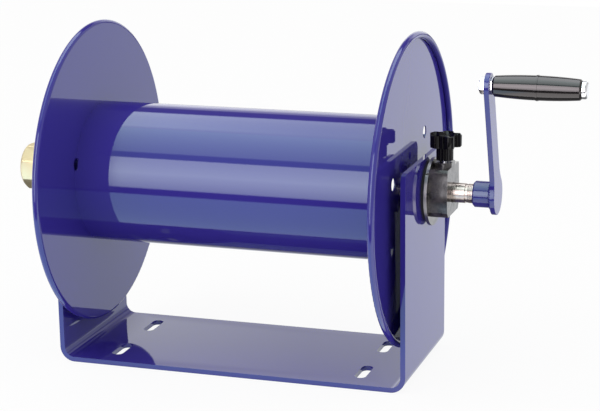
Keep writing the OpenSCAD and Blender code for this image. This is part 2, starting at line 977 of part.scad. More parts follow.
// A thin hexagonal nut that stands the bolt off the arm.
module grip_spacer() {
    color([0.8, 0.8, 0.8])
        on_grip(arm_face_x)
            difference() {
                hexagon(spacer_flats, spacer_t);
                translate([0, 0, -1])
                    cylinder(r = grip_bolt_r + EPS, h = spacer_t + 2, $fn = FINE);
            }
}

module grip_nut() {
    color([0.8, 0.8, 0.8])
        on_grip(nut_x)
            difference() {
                intersection() {
                    hexagon(nut_flats, nut_t);
                    cylinder(r1 = nut_flats / 2, r2 = nut_flats / 2 + nut_t, h = nut_t, $fn = FINE);
                }
                translate([0, 0, -1])
                    cylinder(r = grip_bolt_r + EPS, h = nut_t + 2, $fn = FINE);
            }
}

// Half section of the grip: a shallow barrel with chamfered ends and a ring at its middle.
module grip_section() {
    chamfer = 1.6;
    bore_r = grip_bolt_r + run_fit;
    rise = (grip_d - grip_end_d) / 2;
    half = grip_length / 2;
    barrel_r = (half * half + rise * rise) / (2 * rise);
    ring_rise = 0.5;
    ring_half = 0.9;
    intersection() {
        translate([bore_r, 0])
            square([grip_d, grip_length]);
        translate([grip_d / 2 - barrel_r, half])
            circle(barrel_r, $fn = 360);
        polygon([
            [0, 0], [grip_end_d / 2 - chamfer, 0], [grip_d, grip_d - grip_end_d / 2 + chamfer],
            [grip_d, grip_length - grip_d + grip_end_d / 2 - chamfer],
            [grip_end_d / 2 - chamfer, grip_length], [0, grip_length]
        ]);
    }
    translate([bore_r, half - ring_half])
        square([grip_d / 2 + ring_rise - bore_r, 2 * ring_half]);
}

module grip() {
    color([0.05, 0.05, 0.05])
        on_grip(grip_x)
            rotate_extrude($fn = FINE)
                grip_section();
}

base_frame();
left_disc();
right_disc();
drum_shell();
left_disc_hub();
right_disc_hub();
inlet_axle();
crank_shaft();
outlet_riser();
outlet_fitting();
brake_housing();
inlet_housing();
shaft_bushing();
inlet_bushing();
brake_housing_bolts();
inlet_housing_bolts();
shaft_washer();
inlet_washer();
inlet_stem();
inlet_seals();
inlet_body();
inlet_retaining_ring();
brake_pad();
brake_screw();
brake_knob();
crank_hub();
crank_set_screw();
crank_arm();
grip_bolt();
grip_spacer();
grip_nut();
grip();
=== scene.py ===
"""Looks of the hand-crank hose reel: paint, metals, threads, welds, studio and camera.

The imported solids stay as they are. Edges that catch the light, the castings' drafted sides
and the knob's hollow top are shaped on copies of the nodes. Threads and the weld bead are
separate pieces that ride on the same bodies.
"""

import json
import logging
import math
from collections.abc import Sequence
from dataclasses import dataclass, field
from enum import Enum, IntEnum

import bmesh
import bpy
from mathutils import Matrix, Vector


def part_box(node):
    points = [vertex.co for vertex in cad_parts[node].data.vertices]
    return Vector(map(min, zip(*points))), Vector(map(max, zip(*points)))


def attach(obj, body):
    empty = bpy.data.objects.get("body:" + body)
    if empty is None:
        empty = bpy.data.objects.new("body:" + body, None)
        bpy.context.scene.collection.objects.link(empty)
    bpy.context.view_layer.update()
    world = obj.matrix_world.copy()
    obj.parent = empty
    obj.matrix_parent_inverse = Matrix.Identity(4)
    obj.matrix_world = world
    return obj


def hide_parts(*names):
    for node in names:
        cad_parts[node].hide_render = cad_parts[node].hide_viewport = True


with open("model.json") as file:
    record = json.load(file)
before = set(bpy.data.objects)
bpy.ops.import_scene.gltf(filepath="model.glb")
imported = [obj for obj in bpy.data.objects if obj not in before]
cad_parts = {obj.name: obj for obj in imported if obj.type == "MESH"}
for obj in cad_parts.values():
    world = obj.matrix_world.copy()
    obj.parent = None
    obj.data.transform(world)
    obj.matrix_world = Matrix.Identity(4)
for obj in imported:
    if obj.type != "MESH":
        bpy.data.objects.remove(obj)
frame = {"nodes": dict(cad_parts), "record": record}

MM = 0.001
LOG = logging.getLogger("hose_reel")

Colour = tuple[float, float, float]
WHITE: Colour = (1.0, 1.0, 1.0)


class Slot(Enum):
    """The record's material slots."""

    BLUE_PAINT = "blue_paint"
    BARE_STEEL = "bare_steel"
    BRASS = "brass"
    CAST_IRON = "cast_iron"
    BRONZE = "bronze"
    ZINC_STEEL = "zinc_steel"
    SPRING_STEEL = "spring_steel"
    BLACK_STEEL = "black_steel"
    SEAL_RUBBER = "seal_rubber"
    KNOB_PLASTIC = "knob_plastic"
    GRIP_PLASTIC = "grip_plastic"


class Body(Enum):
    """The bodies that the scene's own pieces ride on."""

    FRAME = "frame"
    DRUM = "drum"
    INLET = "inlet_swivel"
    KNOB = "brake_knob"


class CastingFace(IntEnum):
    """The kinds of face on a casting, by their place in its list of materials."""

    CAST = 0
    # Painted shade: dark rubber on the spigot, which lies in shade in the gap behind the
    # flange.
    PAINTED_SHADE = 1
    # Painted highlight: bright steel on the flange's rim and on the rounded edges, where they
    # catch the light.
    PAINTED_HIGHLIGHT = 2


# Shader nodes


class TreeBuilder:
    """Adds nodes to one shader node tree and joins them."""

    def __init__(self, tree: bpy.types.NodeTree) -> None:
        """Takes the tree to build in.

        Args:
            tree: The tree of a material, a world or a node group.
        """
        self.tree = tree

    def node(
        self, kind: str, inputs: dict[str | int, object] | None = None, **settings: object
    ) -> bpy.types.Node:
        """Adds a node.

        Args:
            kind: The node's type, such as ShaderNodeMath.
            inputs: What goes into its inputs, by name or number: a socket or a plain value.
            settings: Its properties, which are set before the inputs.

        Returns:
            The new node.
        """
        made = self.tree.nodes.new(kind)
        for name, value in settings.items():
            setattr(made, name, value)
        for key, value in (inputs or {}).items():
            if isinstance(value, bpy.types.NodeSocket):
                self.link(value, made.inputs[key])
            else:
                made.inputs[key].default_value = value
        return made

    def link(self, start: bpy.types.NodeSocket, end: bpy.types.NodeSocket) -> None:
        """Joins two sockets.

        Args:
            start: The output socket.
            end: The input socket.
        """
        self.tree.links.new(start, end)

    def maths(self, operation: str, *values: object) -> bpy.types.NodeSocket:
        """Reckons with numbers.

        Args:
            operation: The operation, such as MULTIPLY.
            values: Sockets or plain numbers, in the operation's order.

        Returns:
            The result's socket.
        """
        node = self.node("ShaderNodeMath", dict(enumerate(values)), operation=operation)
        return node.outputs[0]

    def spread(
        self, value: bpy.types.NodeSocket, low: float, high: float,
        start: float = 0.0, end: float = 1.0,
    ) -> bpy.types.NodeSocket:
        """Maps one range of numbers to another, clamped.

        Args:
            value: The number's socket.
            low: The value that becomes start.
            high: The value that becomes end.
            start: The result at low.
            end: The result at high.

        Returns:
            The result's socket.
        """
        node = self.node("ShaderNodeMapRange", {
            "Value": value, "From Min": low, "From Max": high, "To Min": start, "To Max": end,
        })
        return node.outputs["Result"]

    def mix(
        self, kind: str, factor: bpy.types.NodeSocket, first: object, second: object
    ) -> bpy.types.NodeSocket:
        """Mixes two numbers or colours.

        Args:
            kind: FLOAT or RGBA.
            factor: The second one's share.
            first: A socket or a plain value.
            second: A socket or a plain value.

        Returns:
            The result's socket.
        """
        node = self.node(
            "ShaderNodeMix", {"Factor": factor, "A": first, "B": second}, data_type=kind
        )
        return node.outputs["Result"]

    def mix_shaders(
        self, factor: bpy.types.NodeSocket, first: bpy.types.NodeSocket,
        second: bpy.types.NodeSocket,
    ) -> bpy.types.NodeSocket:
        """Mixes two shaders.

        Args:
            factor: The second one's share.
            first: The first shader's socket.
            second: The second shader's socket.

        Returns:
            The result's socket.
        """
        return self.node("ShaderNodeMixShader", {0: factor, 1: first, 2: second}).outputs[0]

    def background(self, colour: object, strength: object) -> bpy.types.NodeSocket:
        """Adds a background shader.

        Args:
            colour: A socket or a plain colour with its alpha.
            strength: A socket or a plain number.

        Returns:
            The shader's socket.
        """
        node = self.node("ShaderNodeBackground", {"Color": colour, "Strength": strength})
        return node.outputs[0]

    def ramp(
        self, place: bpy.types.NodeSocket, stops: Sequence[tuple[float, Colour]]
    ) -> bpy.types.NodeSocket:
        """Adds a colour ramp.

        Args:
            place: The socket that says where on the ramp to read.
            stops: Places from 0 to 1 in rising order, each with its colour; two or more.

        Returns:
            The colour's socket.
        """
        node = self.node("ShaderNodeValToRGB", {"Fac": place})
        elements = node.color_ramp.elements
        ready = len(elements)
        for index, (position, colour) in enumerate(stops):
            stop = elements[index] if index < ready else elements.new(position)
            stop.position = position
            stop.color = (*colour, 1.0)
        return node.outputs["Color"]


class GroupBuilder(TreeBuilder):
    """Builds one shader node group with named sockets."""

    def __init__(self, name: str) -> None:
        """Starts an empty group.

        Args:
            name: The group's name.
        """
        super().__init__(bpy.data.node_groups.new(name, "ShaderNodeTree"))
        self.start = self.node("NodeGroupInput")
        self.end = self.node("NodeGroupOutput")

    def number(self, name: str, value: float) -> None:
        """Adds a number input.

        Args:
            name: The input's name.
            value: Its default value.
        """
        socket = self.tree.interface.new_socket(
            name=name, in_out="INPUT", socket_type="NodeSocketFloat"
        )
        socket.default_value = value

    def colour(self, name: str, value: Colour) -> None:
        """Adds a colour input.

        Args:
            name: The input's name.
            value: Its default value.
        """
        socket = self.tree.interface.new_socket(
            name=name, in_out="INPUT", socket_type="NodeSocketColor"
        )
        socket.default_value = (*value, 1.0)

    def output(self, name: str, kind: str, value: bpy.types.NodeSocket) -> None:
        """Adds an output.

        Args:
            name: The output's name.
            kind: Its socket type, such as NodeSocketColor.
            value: The socket that feeds it.
        """
        self.tree.interface.new_socket(name=name, in_out="OUTPUT", socket_type=kind)
        self.link(value, self.end.inputs[name])

    def object_coords(self) -> bpy.types.NodeSocket:
        """Adds the object's coordinates.

        Returns:
            Their socket.
        """
        return self.node("ShaderNodeTexCoord").outputs["Object"]


def mottle_group() -> bpy.types.NodeTree:
    """Soft clouds between two colours, for paint, plastic and worn metal.

    Returns:
        The node group, with outputs Colour and Mask.
    """
    group = GroupBuilder("surface_mottle")
    group.colour("Colour A", (0.5, 0.5, 0.5))
    group.colour("Colour B", (0.4, 0.4, 0.4))
    group.number("Scale", 20.0)
    group.number("Contrast", 1.0)
    given = group.start.outputs
    noise = group.node(
        "ShaderNodeTexNoise",
        {"Vector": group.object_coords(), "Scale": given["Scale"], "Detail": 5.0},
        noise_dimensions="3D",
    )
    middle = 0.5
    centred = group.maths("SUBTRACT", noise.outputs["Fac"], middle)
    clouds = group.node(
        "ShaderNodeMath", {0: centred, 1: given["Contrast"], 2: middle},
        operation="MULTIPLY_ADD", use_clamp=True,
    ).outputs[0]
    colour = group.mix("RGBA", clouds, given["Colour A"], given["Colour B"])
    group.output("Colour", "NodeSocketColor", colour)
    group.output("Mask", "NodeSocketFloat", clouds)
    return group.tree


def relief_group() -> bpy.types.NodeTree:
    """A fine, even relief: orange peel on paint, sand grain on castings.

    Returns:
        The node group, with an output Height.
    """
    group = GroupBuilder("fine_relief")
    group.number("Scale", 300.0)
    group.number("Grit", 0.5)
    given = group.start.outputs
    coords = group.object_coords()
    soft = group.node(
        "ShaderNodeTexNoise", {"Vector": coords, "Scale": given["Scale"], "Detail": 2.0},
        noise_dimensions="3D",
    )
    cells = group.node(
        "ShaderNodeTexVoronoi", {"Vector": coords, "Scale": given["Scale"]},
        feature="SMOOTH_F1",
    )
    height = group.mix("FLOAT", given["Grit"], soft.outputs["Fac"], cells.outputs["Distance"])
    group.output("Height", "NodeSocketFloat", height)
    return group.tree


def turning_group() -> bpy.types.NodeTree:
    """Lathe marks: fine rings across the reel's axis, uneven along it.

    Returns:
        The node group, with an output Height.
    """
    group = GroupBuilder("turning_marks")
    group.number("Scale", 900.0)
    squeezed = group.node(
        "ShaderNodeMapping", {"Vector": group.object_coords(), "Scale": (1.0, 0.02, 0.02)}
    )
    rings = group.node(
        "ShaderNodeTexNoise",
        {
            "Vector": squeezed.outputs["Vector"], "Scale": group.start.outputs["Scale"],
            "Detail": 3.0,
        },
        noise_dimensions="3D",
    )
    group.output("Height", "NodeSocketFloat", rings.outputs["Fac"])
    return group.tree


# Finishes


@dataclass(frozen=True)
class Finish:
    """A surface finish, made into one material.

    Metals state metallic 1. The two colours are mottled into each other. The relief and the
    lathe marks are bumps in metres.
    """

    slot: Slot
    colour_a: Colour
    colour_b: Colour
    mottle_scale: float = 18.0
    mottle_contrast: float = 1.5
    metallic: float = 0.0
    roughness: float = 0.4
    roughness_spread: float = 0.06
    specular: float = 0.5
    specular_tint: Colour = WHITE
    ior: float = 1.5
    relief_scale: float = 300.0
    relief_grit: float = 0.3
    relief_height: float = 0.00002
    turned: float = 0.0

    def build(self, groups: dict[str, bpy.types.NodeTree]) -> bpy.types.Material:
        """Makes the material from the shared groups.

        Args:
            groups: The shared node groups by name.

        Returns:
            The material, named after its slot.
        """
        material = bpy.data.materials.new(self.slot.value)
        material.use_nodes = True
        nodes = TreeBuilder(material.node_tree)
        shader = material.node_tree.nodes["Principled BSDF"]
        shader.inputs["Metallic"].default_value = self.metallic
        shader.inputs["Specular IOR Level"].default_value = self.specular
        shader.inputs["Specular Tint"].default_value = (*self.specular_tint, 1.0)
        shader.inputs["IOR"].default_value = self.ior

        mottle = nodes.node("ShaderNodeGroup", {
            "Colour A": (*self.colour_a, 1.0), "Colour B": (*self.colour_b, 1.0),
            "Scale": self.mottle_scale, "Contrast": self.mottle_contrast,
        }, node_tree=groups["mottle"])
        nodes.link(mottle.outputs["Colour"], shader.inputs["Base Color"])
        roughness = nodes.spread(
            mottle.outputs["Mask"], 0.0, 1.0,
            self.roughness - self.roughness_spread, self.roughness + self.roughness_spread,
        )
        nodes.link(roughness, shader.inputs["Roughness"])

        relief = nodes.node("ShaderNodeGroup", {
            "Scale": self.relief_scale, "Grit": self.relief_grit,
        }, node_tree=groups["relief"])
        bump = self._bump(nodes, relief.outputs["Height"], self.relief_height)
        if self.turned:
            turning = nodes.node("ShaderNodeGroup", node_tree=groups["turning"])
            rings = self._bump(nodes, turning.outputs["Height"], self.turned)
            nodes.link(bump.outputs["Normal"], rings.inputs["Normal"])
            bump = rings
        nodes.link(bump.outputs["Normal"], shader.inputs["Normal"])
        return material

    @staticmethod
    def _bump(
        nodes: TreeBuilder, height: bpy.types.NodeSocket, distance: float
    ) -> bpy.types.Node:
        """Adds a bump.

        Args:
            nodes: The builder of the material's tree.
            height: The socket of the relief's height, from 0 to 1.
            distance: What height 1 stands for, in metres.

        Returns:
            The bump's node.
        """
        return nodes.node(
            "ShaderNodeBump", {"Strength": 1.0, "Distance": distance, "Height": height}
        )


@dataclass
class FinishBook:
    """All finishes of the reel, built once."""

    finishes: tuple[Finish, ...] = (
        Finish(
            Slot.BLUE_PAINT, (0.041, 0.029, 0.272), (0.044, 0.032, 0.284),
            mottle_scale=9.0, roughness=0.03, roughness_spread=0.01, ior=1.52,
            specular_tint=(0.80, 0.97, 0.92),
            relief_scale=220.0, relief_grit=0.1, relief_height=0.000004,
        ),
        Finish(
            Slot.BARE_STEEL, (0.52, 0.47, 0.44), (0.38, 0.30, 0.26), mottle_scale=60.0,
            metallic=1.0, roughness=0.24, relief_height=0.00001, turned=0.00003,
        ),
        Finish(
            Slot.BRASS, (0.74, 0.62, 0.39), (0.68, 0.54, 0.31), mottle_scale=40.0,
            metallic=1.0, roughness=0.42, relief_height=0.00001, turned=0.00002,
        ),
        Finish(
            Slot.CAST_IRON, (0.095, 0.085, 0.083), (0.010, 0.008, 0.009), mottle_scale=130.0,
            mottle_contrast=3.5, roughness=0.14, roughness_spread=0.08, specular=0.6,
            relief_scale=900.0, relief_grit=0.6, relief_height=0.00004,
        ),
        Finish(
            Slot.BRONZE, (0.62, 0.42, 0.20), (0.50, 0.33, 0.16), mottle_scale=70.0,
            metallic=1.0, roughness=0.35, turned=0.00002,
        ),
        Finish(
            Slot.ZINC_STEEL, (0.80, 0.80, 0.81), (0.68, 0.68, 0.70), mottle_scale=120.0,
            metallic=1.0, roughness=0.22, relief_height=0.00001,
        ),
        Finish(
            Slot.SPRING_STEEL, (0.40, 0.385, 0.37), (0.30, 0.285, 0.275), metallic=1.0,
            roughness=0.3,
        ),
        Finish(
            Slot.BLACK_STEEL, (0.05, 0.05, 0.055), (0.035, 0.035, 0.04), metallic=0.8,
            roughness=0.35,
        ),
        Finish(
            Slot.SEAL_RUBBER, (0.018, 0.018, 0.018), (0.025, 0.025, 0.025), roughness=0.6,
            specular=0.3,
        ),
        Finish(
            Slot.KNOB_PLASTIC, (0.004, 0.003, 0.004), (0.006, 0.005, 0.006), roughness=0.08,
            roughness_spread=0.02, specular=0.22, relief_scale=500.0, relief_height=0.00001,
        ),
        Finish(
            Slot.GRIP_PLASTIC, (0.007, 0.005, 0.006), (0.009, 0.007, 0.008), roughness=0.1,
            roughness_spread=0.02, specular=0.65, specular_tint=(1.0, 0.93, 0.92),
            relief_scale=500.0, relief_height=0.000004,
        ),
    )
    materials: dict[Slot, bpy.types.Material] = field(default_factory=dict)

    def build(self) -> None:
        """Makes the shared groups and then every material."""
        groups = {
            "mottle": mottle_group(),
            "relief": relief_group(),
            "turning": turning_group(),
        }
        for finish in self.finishes:
            self.materials[finish.slot] = finish.build(groups)
            LOG.info("finish %s", finish.slot.value)

    def dress_nodes(self) -> None:
        """Gives every CAD node the material of its slot in the record."""
        for entry in frame["record"]["subparts"]:
            node = frame["nodes"][entry["node"]]
            material = self.materials[Slot(entry["material_slot"])]
            node.data.materials.clear()
            node.data.materials.append(material)
            LOG.info("node %s wears %s", entry["node"], material.name)


# Making pieces


@dataclass
class Workshop:
    """Turns bmesh shapes into finished pieces that ride on bodies."""

    book: FinishBook
    same_place: float = 0.001 * MM
    flat_angle: float = 0.5
    sharp_angle: float = 40.0

    def piece(
        self, name: str, shape: bmesh.types.BMesh, body: Body, slot: Slot, smooth: float = 35.0
    ) -> bpy.types.Object:
        """Makes an object from a bmesh.

        Args:
            name: The piece's name.
            shape: The shape, in metres and in place; it is freed.
            body: The body it rides on.
            slot: The material slot it takes its finish from.
            smooth: Edges sharper than this many degrees stay sharp.

        Returns:
            The new object.
        """
        mesh = bpy.data.meshes.new(name)
        shape.to_mesh(mesh)
        shape.free()
        mesh.shade_smooth()
        mesh.set_sharp_from_angle(angle=math.radians(smooth))
        mesh.materials.append(self.book.materials[slot])
        made = bpy.data.objects.new(name, mesh)
        bpy.context.scene.collection.objects.link(made)
        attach(made, body.value)
        LOG.info("piece %s: %d faces", name, len(mesh.polygons))
        return made

    def softened(
        self, node: str, body: Body, slot: Slot, width: float, segments: int = 2
    ) -> bpy.types.Object:
        """Replaces a CAD node with a copy whose sharp edges are rounded.

        Args:
            node: The CAD node.
            body: The body it rides on.
            slot: The material slot it takes its finish from.
            width: The rounding's width, in metres.
            segments: Faces across each rounding.

        Returns:
            The piece that stands for the node.
        """
        shape = bmesh.new()
        shape.from_mesh(frame["nodes"][node].data)
        bmesh.ops.remove_doubles(shape, verts=shape.verts, dist=self.same_place)
        bmesh.ops.dissolve_limit(
            shape, angle_limit=math.radians(self.flat_angle), verts=shape.verts,
            edges=shape.edges,
        )
        made = self.piece(f"{node}_softened", shape, body, slot)
        bevel = made.modifiers.new("softened_edges", "BEVEL")
        bevel.width = width
        bevel.segments = segments
        bevel.limit_method = "ANGLE"
        bevel.angle_limit = math.radians(self.sharp_angle)
        bevel.harden_normals = True
        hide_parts(node)
        return made

    @staticmethod
    def round_by_weight(made: bpy.types.Object) -> bpy.types.BevelModifier:
        """Has a softened piece's edges rounded by their weights.

        Args:
            made: The softened piece.

        Returns:
            Its bevel.
        """
        bevel = made.modifiers["softened_edges"]
        bevel.limit_method = "WEIGHT"
        return bevel


def edge_weights(shape: bmesh.types.BMesh) -> bmesh.types.BMLayerItem:
    """Adds the layer that says how much of the rounding each edge gets.

    Args:
        shape: The shape whose edges are weighed.

    Returns:
        The layer.
    """
    return shape.edges.layers.float.new("bevel_weight_edge")


def sharp_edges(
    shape: bmesh.types.BMesh, angle: float
) -> list[tuple[bmesh.types.BMEdge, Vector]]:
    """Lists the edges where two faces meet at an angle.

    Args:
        shape: The shape to look through.
        angle: The least angle, in degrees.

    Returns:
        Each edge with its middle.
    """
    return [
        (edge, (edge.verts[0].co + edge.verts[1].co) / 2)
        for edge in shape.edges
        if len(edge.link_faces) == 2 and edge.calc_face_angle() >= math.radians(angle)
    ]


def lay_along_x(shape: bmesh.types.BMesh, start: Vector) -> None:
    """Turns a shape built along +Z at the origin so that it runs along +X.

    Args:
        shape: The shape to turn.
        start: Where its origin goes.
    """
    turn = Matrix.Rotation(math.radians(90), 4, "Y")
    bmesh.ops.transform(shape, matrix=Matrix.Translation(start) @ turn, verts=shape.verts)


def helical_ridge(
    root_r: float, crest_r: float, pitch: float, length: float, steps: int = 28,
    least_steps: int = 3, foot_share: float = 0.46, crest_share: float = 0.25,
) -> bmesh.types.BMesh:
    """A closed helical ridge round +Z, from z = 0.

    Args:
        root_r: Radius of the ridge's foot.
        crest_r: Radius of its crest; smaller than root_r makes an inside thread.
        pitch: Rise of one turn.
        length: Length of the threaded stretch.
        steps: Faces round one turn.
        least_steps: Faces that even the shortest ridge gets.
        foot_share: Half the foot's width over the pitch.
        crest_share: The crest's width over the foot's.

    Returns:
        The ridge as a bmesh.
    """
    shape = bmesh.new()
    half = pitch * foot_share
    crest = half * crest_share
    corners = [(root_r, half), (crest_r, crest), (crest_r, -crest), (root_r, -half)]
    profile = shape.faces.new([shape.verts.new((r, 0.0, z + half)) for r, z in corners])
    turns = (length - 2 * half) / pitch
    count = max(int(turns * steps), least_steps)
    bmesh.ops.spin(
        shape, geom=[profile, *profile.edges, *profile.verts], cent=(0, 0, 0), axis=(0, 0, 1),
        dvec=(0, 0, pitch * turns / count), angle=2 * math.pi * turns, steps=count,
        use_duplicate=False,
    )
    loose = [edge for edge in shape.edges if edge.is_boundary]
    if loose:
        bmesh.ops.holes_fill(shape, edges=loose, sides=0)
    bmesh.ops.recalc_face_normals(shape, faces=shape.faces)
    return shape


def weld_bead(
    radius: float, bead: float, ripples: int, ripple_faces: int = 4, section_faces: int = 10,
    swell: float = 0.12, slant: float = 0.9,
) -> bmesh.types.BMesh:
    """A rippled bead round +Z at z = 0.

    Args:
        radius: Radius of the bead's middle.
        bead: Radius of the bead's section.
        ripples: Number of ripples round the bead.
        ripple_faces: Faces along one ripple.
        section_faces: Faces round the section.
        swell: How much a ripple adds to the section's radius, as a share of it.
        slant: How far a ripple lags across the bead, in radians of its wave.

    Returns:
        The bead as a bmesh.
    """
    shape = bmesh.new()
    ring = bmesh.ops.create_circle(
        shape, cap_ends=False, radius=bead, segments=section_faces
    )
    stand = Matrix.Translation((radius, 0, 0)) @ Matrix.Rotation(math.radians(90), 4, "X")
    bmesh.ops.transform(shape, matrix=stand, verts=ring["verts"])
    bmesh.ops.spin(
        shape, geom=[*shape.verts, *shape.edges], cent=(0, 0, 0), axis=(0, 0, 1),
        angle=2 * math.pi, steps=ripples * ripple_faces, use_merge=True,
        use_duplicate=False,
    )
    for vert in shape.verts:
        turn = math.atan2(vert.co.y, vert.co.x)
        middle = Vector((math.cos(turn), math.sin(turn), 0)) * radius
        share = 1.0 + swell * math.sin(turn * ripples + slant * vert.co.z / bead)
        vert.co = middle + (vert.co - middle) * share
    bmesh.ops.recalc_face_normals(shape, faces=shape.faces)
    return shape


# Sub-assemblies


@dataclass
class ReelAxis:
    """Where the reel's axis lies, read from the frame."""

    y: float = field(init=False)
    z: float = field(init=False)

    def __post_init__(self) -> None:
        """Reads the axis from the hollow axle's box."""
        low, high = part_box("inlet_axle")
        self.y = (low.y + high.y) / 2
        self.z = (low.z + high.z) / 2

    def at(self, x: float) -> Vector:
        """Finds a point of the axis.

        Args:
            x: How far along the reel it lies.

        Returns:
            The point.
        """
        return Vector((x, self.y, self.z))

    def distance(self, point: Vector) -> float:
        """Measures how far a point lies from the axis.

        Args:
            point: The point.

        Returns:
            The distance, in metres.
        """
        return math.hypot(point.y - self.y, point.z - self.z)


@dataclass
class BaseFrame:
    """The bent plate, with a sheared rim and punched holes."""

    shop: Workshop
    edge: float = 1.5 * MM
    edge_faces: int = 4
    hole_share: float = 0.25
    top_band: float = 10.0 * MM
    near: float = 0.01 * MM

    def build(self) -> None:
        """Rounds the plate's outline fully and its holes less."""
        plate = self.shop.softened(
            "base_frame", Body.FRAME, Slot.BLUE_PAINT, self.edge, self.edge_faces
        )
        low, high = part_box("base_frame")
        shape = bmesh.new()
        shape.from_mesh(plate.data)
        weights = edge_weights(shape)
        for edge, middle in sharp_edges(shape, self.shop.sharp_angle):
            on_outline = (
                middle.y < low.y + self.near or middle.y > high.y - self.near
                or middle.z > high.z - self.top_band
            )
            edge[weights] = 1.0 if on_outline else self.hole_share
        shape.to_mesh(plate.data)
        shape.free()
        self.shop.round_by_weight(plate)


@dataclass
class BearingHousings:
    """The two castings bolted to the uprights.

    A casting's foot is its end nearest the reel's middle, and flange_foot and flange_face
    are measured from there, outwards along the reel. Each pair in lean is a height above
    the axis and how far in a long side lies there. The last six are tolerances.
    """

    shop: Workshop
    axis: ReelAxis
    edge: float = 1.4 * MM
    edge_faces: int = 3
    corner_share: float = 0.35
    flange_foot: float = 3.7 * MM
    flange_face: float = 6.7 * MM
    flange_r: float = 33.0 * MM
    body_half: float = 24.5 * MM
    lean: tuple[tuple[float, float], ...] = (
        (16.0 * MM, 1.4 * MM), (3.5 * MM, 0.0), (-9.5 * MM, 0.0), (-15.5 * MM, 1.0 * MM),
    )
    sharp_angle: float = 30.0
    cut_gap: float = 0.01 * MM
    near: float = 0.05 * MM
    margin: float = 0.1 * MM
    rim_band: float = 0.3 * MM
    rim_normal_x: float = 0.1

    def build(self) -> None:
        """Makes both castings, with drafted sides, painted shade on the spigot and a painted
        highlight on the flange's rim.
        """
        for node in ("brake_housing", "inlet_housing"):
            casting = self.shop.softened(
                node, Body.FRAME, Slot.CAST_IRON, self.edge, self.edge_faces
            )
            # Rubber gives the spigot its painted shade; spring steel gives the rim and rounded
            # edges their painted highlight.
            for slot in (Slot.SEAL_RUBBER, Slot.SPRING_STEEL):
                casting.data.materials.append(self.shop.book.materials[slot])
            self._shape(casting)

    def _shape(self, casting: bpy.types.Object) -> None:
        """Leans a casting's long sides in above and below its middle and marks its painted
        shade and painted highlight.

        Args:
            casting: The softened casting.
        """
        shape = bmesh.new()
        shape.from_mesh(casting.data)
        for height, _ in self.lean:
            bmesh.ops.bisect_plane(
                shape, geom=[*shape.verts, *shape.edges, *shape.faces], dist=self.cut_gap,
                plane_co=(0, 0, self.axis.z + height), plane_no=(0, 0, 1),
            )
        foot = min(abs(vert.co.x) for vert in shape.verts)
        for vert in shape.verts:
            aside = abs(vert.co.y - self.axis.y)
            on_side = abs(aside - self.body_half) < self.near
            if on_side and abs(vert.co.x) > foot + self.flange_face - self.margin:
                side = 1.0 if vert.co.y > self.axis.y else -1.0
                vert.co.y -= side * self._lean_at(vert.co.z - self.axis.z)
        bmesh.ops.recalc_face_normals(shape, faces=shape.faces)
        self._weigh_edges(shape, foot)
        self._mark_faces(shape, foot)
        shape.to_mesh(casting.data)
        shape.free()
        # The rounded edges take the bright steel of the painted highlight too.
        self.shop.round_by_weight(casting).material = CastingFace.PAINTED_HIGHLIGHT

    def _lean_at(self, height: float) -> float:
        """Finds how far in the side lies.

        Args:
            height: The height above the axis.

        Returns:
            The lean there, in metres.
        """
        above = self.lean[0]
        if height >= above[0]:
            return above[1]
        for (top, top_in), (foot, foot_in) in zip(self.lean, self.lean[1:]):
            if foot <= height <= top:
                return foot_in + (top_in - foot_in) * (height - foot) / (top - foot)
        return self.lean[-1][1]

    def _weigh_edges(self, shape: bmesh.types.BMesh, foot: float) -> None:
        """Rounds the flange's rim fully and other corners less.

        Args:
            shape: The casting's shape.
            foot: How far along the reel its foot lies.
        """
        weights = edge_weights(shape)
        for edge, middle in sharp_edges(shape, self.sharp_angle):
            on_rim = abs(self.axis.distance(middle) - self.flange_r) < self.rim_band
            on_face = abs(abs(middle.x) - (foot + self.flange_face)) < self.near
            edge[weights] = 1.0 if on_rim and on_face else self.corner_share

    def _mark_faces(self, shape: bmesh.types.BMesh, foot: float) -> None:
        """Paints shade on the spigot in the gap behind the flange and paints a highlight on the
        flange's rim.

        Args:
            shape: The casting's shape.
            foot: How far along the reel its foot lies.
        """
        for face in shape.faces:
            centre = face.calc_center_median()
            # Painted shade: the spigot in the gap behind the flange gets dark rubber.
            if abs(centre.x) < foot + self.flange_foot - self.margin:
                face.material_index = CastingFace.PAINTED_SHADE
            elif (
                abs(centre.x) < foot + self.flange_face
                and abs(self.axis.distance(centre) - self.flange_r) < self.rim_band
                and abs(face.normal.x) < self.rim_normal_x
            ):
                # Painted highlight: the flange's rim faces get bright steel.
                face.material_index = CastingFace.PAINTED_HIGHLIGHT


